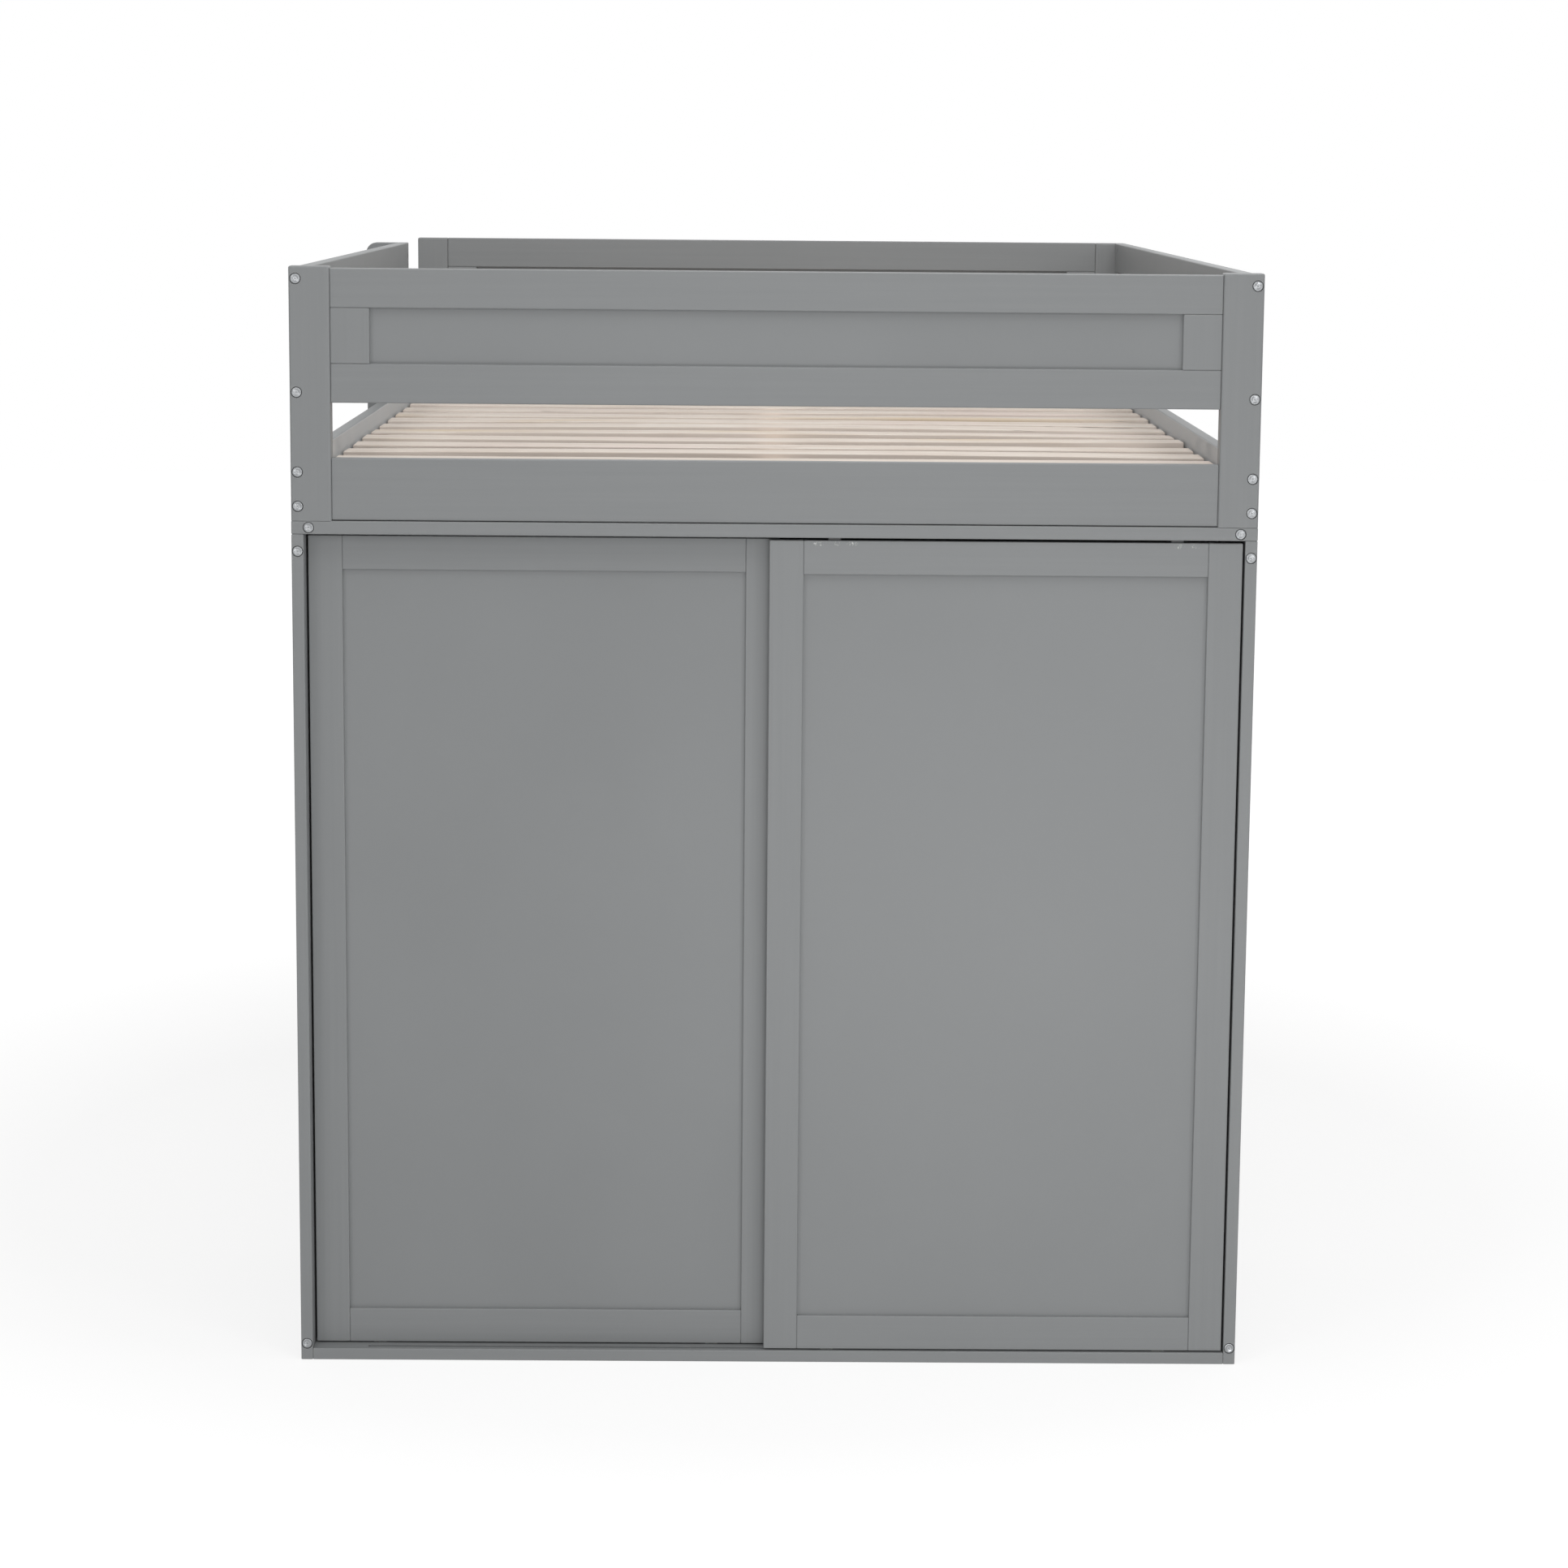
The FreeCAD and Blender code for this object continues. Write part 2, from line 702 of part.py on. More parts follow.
def cross_rail(x):
    """Front-to-back member of the wardrobe's top, tongued at both ends and grooved for the panels."""
    y = (member_width, wardrobe_depth - member_width)
    z = (side_height, top_level)
    middle = (side_height + top_level) / 2
    tongue_x = (x[0] + tongue_shoulder, x[1] - tongue_shoulder)
    tongue_y = (y[0] - tongue_length, y[1] + tongue_length)
    tongue = box(tongue_x, tongue_y, about(middle, panel_thickness))
    return board(x, y, z, Y_AXIS, member_round).fuse(tongue).removeSplitter()


def make_wardrobe_top():
    z = (side_height, top_level)
    middle = (side_height + top_level) / 2
    full = (-half_width, half_width)
    front = board(full, (0, member_width), z, X_AXIS, board_round)
    rear = board(full, (wardrobe_depth - member_width, wardrobe_depth), z, X_AXIS, board_round)
    groove_y = (member_width - groove_depth, wardrobe_depth - member_width + groove_depth)
    frame_groove = box(full, groove_y, about(middle, groove_width))
    guide_length = runner_reach + guide_tongue_length / 2 + runner_end_room
    front = front.cut(frame_groove).cut(runner_grooves(side_height, guide_track_depth, guide_length))
    for side in SIDES:
        front = front.cut(pin_hole(side))
    export("wardrobe_top_front_rail", front)
    export("wardrobe_top_rear_rail", rear.cut(frame_groove).cut(back_groove()))
    outer = half_width - member_width
    bays = []
    panels = []
    for side in SIDES:
        bay = mirrored(side, member_width / 2, outer)
        bay_x = (bay[0] - groove_depth, bay[1] + groove_depth)
        bays.append(box(bay_x, groove_y, about(middle, groove_width)))
        panel_x = (bay[0] - panel_lap, bay[1] + panel_lap)
        panel_y = (groove_y[0] + panel_edge_room, groove_y[1] - panel_edge_room)
        panels.append(box(panel_x, panel_y, about(middle, panel_thickness)))
    rails = []
    for x in (mirrored(-1, outer, half_width), about(0, member_width), (outer, half_width)):
        rail = cross_rail(x)
        for bay in bays:
            rail = rail.cut(bay)
        rails.append(rail)
    export("wardrobe_top_cross_rails", *rails)
    export("wardrobe_top_panels", *panels)


def make_wardrobe_floor_and_back():
    floor_x = (-inner_half, inner_half)
    floor = board(floor_x, (0, wardrobe_depth), (0, bottom_thickness), X_AXIS, member_round)
    track_length = runner_reach + roller_radius + runner_end_room
    tracks = runner_grooves(bottom_thickness, roller_track_depth, track_length)
    export("wardrobe_floor", floor.cut(tracks).cut(back_groove()))
    export("wardrobe_back", back_panel(panel_edge_room))


def make_hanging_rail():
    place = FreeCAD.Vector(0, hanger_y, hanger_level)
    half_tube = inner_half - hanger_flange_thickness
    tube = rod(hanger_tube_radius, -half_tube, half_tube)
    bore_end = half_tube + overrun
    tube = tube.cut(rod(hanger_tube_radius - hanger_tube_wall, -bore_end, bore_end))
    export("hanging_rail", upright_on(tube, place, X_AXIS))
    holders = [hanger_cup(side) for side in SIDES]
    export("hanging_rail_holders", *holders, hanger_saddle())


def hanger_cup(side):
    """Flange on a side frame, with a cup that takes the rail's end."""
    inner = hanger_tube_radius + hanger_fit_play
    flange = rod(hanger_flange_radius, 0, hanger_flange_thickness)
    cup_end = hanger_flange_thickness + hanger_cup_length
    cup = flange.fuse(rod(inner + hanger_cup_wall, 0, cup_end))
    cup = cup.cut(rod(inner, hanger_flange_thickness, cup_end + overrun)).removeSplitter()
    place = FreeCAD.Vector(side * inner_half, hanger_y, hanger_level)
    return upright_on(cup, place, X_AXIS * -side)


def hanger_saddle():
    """Ring under the middle of the top that carries the middle of the rail."""
    inner = hanger_tube_radius + hanger_fit_play
    outer = inner + hanger_cup_wall
    half_ring = hanger_saddle_width / 2
    x = (-half_ring, half_ring)
    plate_z = (side_height - hanger_flange_thickness, side_height)
    plate = box(x, about(hanger_y, hanger_saddle_plate_length), plate_z)
    neck = box(x, about(hanger_y, hanger_saddle_neck), (hanger_level, side_height))
    place = FreeCAD.Vector(0, hanger_y, hanger_level)
    ring = upright_on(rod(outer, -half_ring, half_ring), place, X_AXIS)
    bore = upright_on(rod(inner, -half_ring - overrun, half_ring + overrun), place, X_AXIS)
    return plate.fuse(neck).fuse(ring).cut(bore).removeSplitter()


# Sliding doors with their rollers and guides
def housing_size():
    """Length, width and top level of a roller's housing."""
    length = 2 * (roller_radius + housing_wheel_room + housing_end_wall)
    width = roller_width + 2 * (housing_side_play + housing_cheek)
    top = axle_level + roller_radius + housing_wheel_room + housing_cheek
    return length, width, top


def housing(x, y):
    """Open-bottomed shell let into a door's lower edge around its roller."""
    length, width, top = housing_size()
    shell = box(about(x, length), about(y, width), (door_bottom, top))
    room = roller_radius + housing_wheel_room
    well_y = about(y, roller_width + 2 * housing_side_play)
    well = box(about(x, 2 * room), well_y, (door_bottom - overrun, axle_level + room))
    bore = rod(axle_radius + axle_seat_play, -width, width)
    bore = upright_on(bore, FreeCAD.Vector(x, y, axle_level), Y_AXIS)
    return shell.cut(well).cut(bore)


def housing_mortise(x, y):
    length, width, top = housing_size()
    z = (door_bottom - overrun, top + mortise_play)
    return box(about(x, length + 2 * mortise_play), about(y, width + 2 * mortise_play), z)


def axle(x, y):
    half = housing_size()[1] / 2
    return upright_on(rod(axle_radius, -half, half), FreeCAD.Vector(x, y, axle_level), Y_AXIS)


def roller(x, y):
    """Turned wheel: a rim and a hub joined by a thinner web."""
    half = roller_width / 2
    wheel = rod(roller_radius, -half, half)
    wheel = wheel.makeFillet(roller_round, [edge for edge in wheel.Edges if edge.Closed])
    rim_inner = roller_radius - roller_rim
    for start, end in ((roller_web / 2, half + overrun), (-half - overrun, -roller_web / 2)):
        ring = rod(rim_inner, start, end).cut(rod(roller_hub_radius, start, end))
        wheel = wheel.cut(ring)
    wheel = wheel.cut(rod(axle_radius + axle_running_play, -half - overrun, half + overrun))
    return upright_on(wheel, FreeCAD.Vector(x, y, axle_level), Y_AXIS)


def guide_base(x, y, play):
    """Base of a top guide, let flush into the door's upper edge."""
    size_x = guide_base_length + 2 * play
    size_y = guide_base_width + 2 * play
    return box(about(x, size_x), about(y, size_y), (door_top - guide_base_depth, door_top))


def top_guide(x, y):
    """Base with a tongue that runs in the groove above the door."""
    tongue_top = side_height + guide_track_depth - guide_tongue_top_room
    tongue = box(about(x, guide_tongue_length), about(y, guide_tongue_width), (door_top, tongue_top))
    tongue = tongue.makeFillet(guide_round, edges_along(tongue, Z_AXIS))
    return guide_base(x, y, 0).fuse(tongue)


def make_door(name, left_edge, y):
    leaf = Leaf(door_width, door_bottom, door_top, door_thickness,
                door_stile_width, door_top_rail_height, door_bottom_rail_height)
    runners = (left_edge + runner_inset, left_edge + door_width - runner_inset)
    rails = [moved(rail, left_edge, y, 0) for rail in leaf.rails()]
    for x in runners:
        cutter = housing_mortise(x, y).fuse(guide_base(x, y, mortise_play))
        rails = [rail.cut(cutter) for rail in rails]
    export(name + "_door_stiles", *[moved(stile, left_edge, y, 0) for stile in leaf.stiles()])
    export(name + "_door_rails", *rails)
    export(name + "_door_panel", moved(leaf.panel(), left_edge, y, 0))
    export(name + "_door_top_guides", *[top_guide(x, y) for x in runners])
    export(name + "_door_roller_housings", *[housing(x, y) for x in runners])
    export(name + "_door_roller_axles", *[axle(x, y) for x in runners])
    for place, x in zip(("left", "right"), runners):
        export(name + "_door_" + place + "_roller", roller(x, y))


def make_fasteners():
    write_node("frame_bolts", [solid for joint in joints for solid in joint.bolt().Solids])
    write_node("barrel_nuts", [solid for joint in joints for solid in joint.nut().Solids])


os.makedirs("parts", exist_ok=True)
make_posts()
make_post_pins()
make_guards()
make_deck()
make_centre_beam()
make_ladder()
make_wardrobe_sides()
make_wardrobe_top()
make_wardrobe_floor_and_back()
make_hanging_rail()
make_door("left", -inner_half + door_side_gap, rear_door_y)
make_door("right", inner_half - door_side_gap - door_width, front_door_y)
make_fasteners()
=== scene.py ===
import math
import random

import bpy
from mathutils import Matrix, Vector


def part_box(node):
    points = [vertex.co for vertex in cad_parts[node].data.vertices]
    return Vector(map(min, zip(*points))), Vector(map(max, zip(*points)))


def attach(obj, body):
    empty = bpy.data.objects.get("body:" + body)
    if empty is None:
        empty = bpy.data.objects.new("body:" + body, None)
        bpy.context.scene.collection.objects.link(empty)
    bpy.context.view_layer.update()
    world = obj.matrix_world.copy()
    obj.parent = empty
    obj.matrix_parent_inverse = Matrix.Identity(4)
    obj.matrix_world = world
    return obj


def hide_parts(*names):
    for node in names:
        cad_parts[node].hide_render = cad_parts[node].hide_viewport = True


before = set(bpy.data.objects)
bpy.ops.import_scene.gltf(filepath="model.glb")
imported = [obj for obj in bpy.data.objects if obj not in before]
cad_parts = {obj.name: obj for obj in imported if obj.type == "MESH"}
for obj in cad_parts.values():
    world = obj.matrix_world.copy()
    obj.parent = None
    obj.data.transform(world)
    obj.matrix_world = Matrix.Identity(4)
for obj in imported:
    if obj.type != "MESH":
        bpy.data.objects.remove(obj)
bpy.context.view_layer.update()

# Camera at the photograph's viewing angle: sensor and lens in millimetres, place in metres, turns in degrees
SENSOR = 36.0
LENS = 79.14
SHIFT_Y = -0.0777
CAMERA_PLACE = Vector((0.0002, -6.0841, 1.8317))
YAW = -0.491
PITCH = -8.302
ROLL = -0.482


def make_camera():
    data = bpy.data.cameras.new("camera")
    data.sensor_width = SENSOR
    data.lens = LENS
    data.shift_y = SHIFT_Y
    camera = bpy.data.objects.new("camera", data)
    bpy.context.scene.collection.objects.link(camera)
    turn = Matrix.Rotation(math.radians(YAW), 3, "Z")
    turn = turn @ Matrix.Rotation(math.radians(PITCH), 3, "X")
    turn = turn @ Matrix.Rotation(math.radians(ROLL), 3, "Y")
    right, forward, up = turn.col[0], turn.col[1], turn.col[2]
    pose = Matrix((right, up, -forward)).transposed().to_4x4()
    pose.translation = CAMERA_PLACE
    camera.matrix_world = pose
    bpy.context.scene.camera = camera


def srgb(red, green, blue):
    """Linear colour of an sRGB one given in 0 to 255."""
    def part(value):
        share = value / 255
        return share / 12.92 if share <= 0.04045 else ((share + 0.055) / 1.055) ** 2.4
    return (part(red), part(green), part(blue), 1.0)


# Sockets of a Mix node that blends colours
MIX_SHARE, MIX_FIRST, MIX_SECOND = 0, 6, 7
MIX_RESULT = 2


class Shader:
    """Small builder for a node material or the world."""

    def __init__(self, owner):
        owner.use_nodes = True
        self.owner = owner
        self.tree = owner.node_tree
        self.nodes = self.tree.nodes

    def feed(self, socket, value):
        if isinstance(value, bpy.types.NodeSocket):
            self.tree.links.new(value, socket)
        else:
            socket.default_value = value

    def add(self, kind, inputs=None, **settings):
        node = self.nodes.new("ShaderNode" + kind)
        for key, value in settings.items():
            setattr(node, key, value)
        for key, value in (inputs or {}).items():
            self.feed(node.inputs[key], value)
        return node

    def seen(self):
        """1 for the rays that show the surroundings: camera, glossy and transmitted ones."""
        path = self.add("LightPath")
        total = path.outputs["Is Camera Ray"]
        for other in ("Is Glossy Ray", "Is Transmission Ray"):
            total = self.maths("MAXIMUM", total, path.outputs[other])
        return total

    def place(self):
        return self.add("TexCoord").outputs["Object"]

    def normal(self):
        return self.add("NewGeometry").outputs["Normal"]

    def maths(self, operation, first, second=0.0):
        return self.add("Math", {0: first, 1: second}, operation=operation).outputs[0]

    def vector(self, operation, first, second=(0.0, 0.0, 0.0)):
        node = self.add("VectorMath", {0: first, 1: second}, operation=operation)
        return node.outputs["Value" if operation in ("DOT_PRODUCT", "LENGTH") else "Vector"]

    def remap(self, value, low, high, to_low=0.0, to_high=1.0):
        limits = {"Value": value, "From Min": low, "From Max": high, "To Min": to_low, "To Max": to_high}
        return self.add("MapRange", limits).outputs["Result"]

    def weighted(self, first, first_share, second, second_share):
        """Sum of two values, each times its share."""
        first = self.maths("MULTIPLY", first, first_share)
        return self.maths("ADD", first, self.maths("MULTIPLY", second, second_share))

    def noise(self, place, scale, detail=2.0, roughness=0.5):
        inputs = {"Vector": place, "Scale": scale, "Detail": detail, "Roughness": roughness}
        return self.add("TexNoise", inputs).outputs["Fac"]

    def stretched_noise(self, place, stretch, detail=2.0, roughness=0.5):
        """Noise with its own scale along each axis."""
        return self.noise(self.vector("MULTIPLY", place, stretch), 1.0, detail, roughness)

    def blend(self, share, first, second):
        node = self.add("Mix", data_type="RGBA")
        for index, value in ((MIX_SHARE, share), (MIX_FIRST, first), (MIX_SECOND, second)):
            self.feed(node.inputs[index], value)
        return node.outputs[MIX_RESULT]

    def ramp(self, value, stops):
        """Colour ramp through (position, colour) stops."""
        node = self.add("ValToRGB", {"Fac": value})
        steps = node.color_ramp.elements
        while len(steps) < len(stops):
            steps.new(1.0)
        for step, (position, colour) in zip(steps, stops):
            step.position, step.color = position, colour
        return node.outputs["Color"]

    def surface(self, **inputs):
        """Feeds the Principled shader; underscores stand for spaces."""
        bsdf = self.nodes["Principled BSDF"]
        for key, value in inputs.items():
            self.feed(bsdf.inputs[key.replace("_", " ")], value)
        return self.owner

    def bump(self, height, depth, strength):
        inputs = {"Height": height, "Distance": depth, "Strength": strength}
        return self.add("Bump", inputs).outputs["Normal"]


# Studio: pale floor, white surroundings and soft lamps
WHITE = (1.0, 1.0, 1.0, 1.0)
BLACK = (0.0, 0.0, 0.0, 1.0)
WHITE_LEVEL = 1.0
WORLD_LEVEL = 0.29
FLOOR_REACH = 14.0
FLOOR_COLOUR = (0.84, 0.84, 0.84, 1.0)
FLOOR_GLOW_NEAR = 0.80
FLOOR_GLOW_FAR = WHITE_LEVEL
FLOOR_NEAR_REACH = 1.3
FLOOR_FAR_REACH = 3.0
FLOOR_SHADE_SHARE = 0.30
# Lamps: place, point aimed at, width, height, power in watts
LAMPS = {
    "left": ((-3.6, -5.2, 3.1), (0.0, -0.9, 0.8), 1.4, 1.4, 29.0),
    "right": ((3.8, -5.2, 3.1), (0.0, -0.9, 0.8), 1.4, 1.4, 37.0),
    "top": ((0.0, 0.0, 5.0), (0.0, 0.0, 0.0), 5.0, 4.0, 42.0),
    "top_front": ((0.0, -2.8, 4.9), (0.0, 0.0, 1.3), 4.0, 2.0, 50.0),
    "front": ((0.0, -6.6, 2.0), (0.0, -0.9, 1.2), 2.4, 0.8, 28.0),
    "inside": ((0.9, -0.8, 3.2), (-0.6, 0.7, 1.5), 1.6, 1.0, 14.0),
    "floor_glint": ((0.62, -3.5, 0.05), (0.40, -0.98, 0.6), 1.2, 0.8, 24.0),
}


def make_world():
    world = bpy.data.worlds.new("studio")
    bpy.context.scene.world = world
    shader = Shader(world)
    back = shader.nodes["Background"]
    shader.feed(back.inputs["Color"], WHITE)
    level = shader.remap(shader.seen(), 0.0, 1.0, WORLD_LEVEL, WHITE_LEVEL)
    shader.feed(back.inputs["Strength"], level)


def make_floor():
    """Floor that looks white far away and keeps a faint shadow near the bed."""
    mesh = bpy.data.meshes.new("floor")
    reach = FLOOR_REACH
    corners = [(-reach, -reach, 0), (reach, -reach, 0), (reach, reach, 0), (-reach, reach, 0)]
    mesh.from_pydata(corners, [], [(0, 1, 2, 3)])
    floor = bpy.data.objects.new("floor", mesh)
    bpy.context.scene.collection.objects.link(floor)
    shader = Shader(bpy.data.materials.new("pale_floor"))
    shader.nodes.remove(shader.nodes["Principled BSDF"])
    diffuse = shader.add("BsdfDiffuse", {"Color": FLOOR_COLOUR})
    away = shader.vector("LENGTH", shader.place())
    level = shader.remap(away, FLOOR_NEAR_REACH, FLOOR_FAR_REACH, FLOOR_GLOW_NEAR, FLOOR_GLOW_FAR)
    glow = shader.add("Emission", {"Strength": level})
    shade = shader.add("BsdfTransparent", {"Color": BLACK})
    soft = shader.add("MixShader", {0: FLOOR_SHADE_SHARE, 1: shade.outputs[0], 2: diffuse.outputs[0]})
    lit = shader.add("AddShader", {0: soft.outputs[0], 1: glow.outputs[0]})
    mixed = shader.add("MixShader", {0: shader.seen(), 1: diffuse.outputs[0], 2: lit.outputs[0]})
    shader.feed(shader.nodes["Material Output"].inputs["Surface"], mixed.outputs[0])
    mesh.materials.append(shader.owner)


def make_lamps():
    for name, (place, target, width, height, power) in LAMPS.items():
        data = bpy.data.lights.new(name, "AREA")
        data.shape = "RECTANGLE"
        data.size, data.size_y = width, height
        data.energy = power
        lamp = bpy.data.objects.new(name, data)
        bpy.context.scene.collection.objects.link(lamp)
        lamp.location = place
        aim = Vector(target) - Vector(place)
        lamp.rotation_euler = aim.to_track_quat("-Z", "Y").to_euler()


# Limits that hold most of a noise's values
NOISE_LOW, NOISE_HIGH = 0.3, 0.7

# Edges: reach in metres, and the cosines between flat and rounded surface where an edge starts and is full
BEVEL_SAMPLES = 4
WEAR_REACH = 0.003
WEAR_COSINES = (0.98, 0.80)
WEAR_SCALE, WEAR_DETAIL = 45.0, 4.0
WEAR_LIMITS = (0.52, 0.72)
WEAR_SHARE = 0.4
RIM_REACH = 0.001
RIM_COSINES = (0.99, 0.90)


def edges(shader, reach, cosines):
    """Share of an edge about a place, by how far the surface turns within reach."""
    rounded = shader.add("Bevel", {"Radius": reach}, samples=BEVEL_SAMPLES).outputs["Normal"]
    return shader.remap(shader.vector("DOT_PRODUCT", rounded, shader.normal()), *cosines)


def worn_edges(shader, place):
    """Share of bare primer along the outer edges, broken up by noise."""
    breaks = shader.remap(shader.noise(place, WEAR_SCALE, WEAR_DETAIL), *WEAR_LIMITS)
    return shader.maths("MULTIPLY", edges(shader, WEAR_REACH, WEAR_COSINES), breaks)


# Grey paint over boards, whose grain still shows a little, and over smooth panels
PAINT_DARK = srgb(133, 135, 136)
PAINT_LIGHT = srgb(138, 140, 141)
PRIMER = srgb(182, 181, 176)
CHIPPED = srgb(222, 222, 219)
# Paler grey painted on the side rails' faces towards the bed: painted light, standing in for the light they
# catch
PAINTED_LIGHT_GREY = srgb(200, 203, 205)
MOTTLE_SCALE, MOTTLE_DETAIL = 2.2, 3.0
PEEL_SCALE, PEEL_DETAIL = 520.0, 1.0
PEEL_HEIGHT_SHARE = 0.3
GRAIN_LONG, GRAIN_CROSS = 2.5, 130.0
GRAIN_DETAIL, GRAIN_ROUGHNESS = 5.0, 0.65
MOTTLE_SHARE, GRAIN_SHARE = 0.45, 0.55
PAINT_ROUGHNESS = (0.38, 0.48)
PAINT_BUMP_DEPTH, PAINT_BUMP_STRENGTH = 0.0002, 0.35
PAINT_SPECULAR = 0.35
SPECK_DETAIL, SPECK_ROUGHNESS = 3.0, 0.7
SPOT_LIMITS = (1.0, 0.7)
CHIP_ROUGHNESS = 0.75
# Cosines and share of the painted light on faces towards one side
PAINTED_LIGHT_COSINES = (0.7, 0.9)
PAINTED_LIGHT_SHARE = 0.8


def scuff_mask(shader, place, spots, stretch, limits):
    """Share of chipped paint inside ellipsoids given by middle and half sizes."""
    specks = shader.stretched_noise(place, stretch, SPECK_DETAIL, SPECK_ROUGHNESS)
    specks = shader.remap(specks, *limits)
    total = 0.0
    for middle, half in spots:
        offset = shader.vector("SUBTRACT", place, middle)
        offset = shader.vector("DIVIDE", offset, half)
        near = shader.remap(shader.vector("LENGTH", offset), *SPOT_LIMITS)
        total = shader.maths("MAXIMUM", near, total)
    return shader.maths("MULTIPLY", total, specks)


def painted_side_light(shader, side):
    """Share of painted light on faces towards one side along X, which are painted paler to stand in for the
    light they catch.
    """
    facing = shader.vector("DOT_PRODUCT", shader.normal(), (side, 0.0, 0.0))
    return shader.remap(facing, *PAINTED_LIGHT_COSINES, 0.0, PAINTED_LIGHT_SHARE)


def paint(name, axis=None, scuffs=None, painted_light_side=None):
    """Paint with grain along an axis, scuffs, and faces towards one side painted paler as painted light, where
    given.
    """
    shader = Shader(bpy.data.materials.new(name))
    place = shader.place()
    mottle = shader.noise(place, MOTTLE_SCALE, MOTTLE_DETAIL)
    peel = shader.noise(place, PEEL_SCALE, PEEL_DETAIL)
    tone, height = mottle, peel
    if axis:
        stretch = [GRAIN_LONG if letter == axis else GRAIN_CROSS for letter in "XYZ"]
        grain = shader.stretched_noise(place, stretch, GRAIN_DETAIL, GRAIN_ROUGHNESS)
        tone = shader.weighted(mottle, MOTTLE_SHARE, grain, GRAIN_SHARE)
        height = shader.maths("ADD", shader.maths("MULTIPLY", peel, PEEL_HEIGHT_SHARE), grain)
    colour = shader.ramp(tone, ((NOISE_LOW, PAINT_DARK), (NOISE_HIGH, PAINT_LIGHT)))
    wear = shader.maths("MULTIPLY", worn_edges(shader, place), WEAR_SHARE)
    colour = shader.blend(wear, colour, PRIMER)
    # Faces towards the given side are painted paler: painted light
    if painted_light_side:
        colour = shader.blend(painted_side_light(shader, painted_light_side), colour, PAINTED_LIGHT_GREY)
    rough = shader.remap(mottle, NOISE_LOW, NOISE_HIGH, *PAINT_ROUGHNESS)
    if scuffs:
        chips = scuff_mask(shader, place, *scuffs)
        colour = shader.blend(chips, colour, CHIPPED)
        rough = shader.maths("MAXIMUM", rough, shader.maths("MULTIPLY", chips, CHIP_ROUGHNESS))
    normal = shader.bump(height, PAINT_BUMP_DEPTH, PAINT_BUMP_STRENGTH)
    return shader.surface(Base_Color=colour, Roughness=rough, Normal=normal, Specular_IOR_Level=PAINT_SPECULAR)


# Bare pine, planed on its faces and sawn on its edges; its sides and fronts are painted lighter than its tops,
# as painted light
PINE_PALE = srgb(235, 226, 216)
PINE_MILD = srgb(228, 216, 205)
PINE_DARK = srgb(212, 197, 183)
# Lighter pine painted on the slats' sides and fronts: painted light
PINE_SIDE_PAINTED_LIGHT = srgb(244, 229, 217)
PINE_PINK = srgb(228, 211, 203)
PINE_GOLD = srgb(214, 188, 146)
KNOT = srgb(128, 92, 62)
STREAK = srgb(96, 74, 58)
PINE_STOPS = ((0.05, PINE_PALE), (0.55, PINE_MILD), (0.95, PINE_DARK))
BOARD_SHIFT = 37.0
KNOT_STRETCH = (2.2, 9.0, 9.0)
KNOT_SWIRL_LIMITS = (0.25, 0.0)
KNOT_CORE_LIMITS = (0.05, 0.02)
RING_STRETCH = (1.1, 42.0, 42.0)
RING_DETAIL, RING_ROUGHNESS = 3.0, 0.55
RING_COUNT, KNOT_RING_COUNT = 46.0, 9.0
FIBRE_STRETCH = (9.0, 900.0, 900.0)
RING_SHARE, FIBRE_SHARE = 0.7, 0.3
SIDE_PAINTED_LIGHT_COSINES = (0.8, 0.3)
SIDE_PAINTED_LIGHT_SHARE = 0.8
PATCH_STRETCH = (1.7, 6.0, 6.0)
PINK_LIMITS, PINK_SHARE = (0.42, 0.30), 0.6
GOLD_LIMITS, GOLD_SHARE = (0.60, 0.74), 0.5
MARK_STRETCH = (6.0, 210.0, 210.0)
MARK_LIMITS, MARK_SHARE = (0.685, 0.725), 0.75
PINE_ROUGHNESS = (0.55, 0.75)
PINE_BUMP_DEPTH, PINE_BUMP_STRENGTH = 0.0003, 0.4


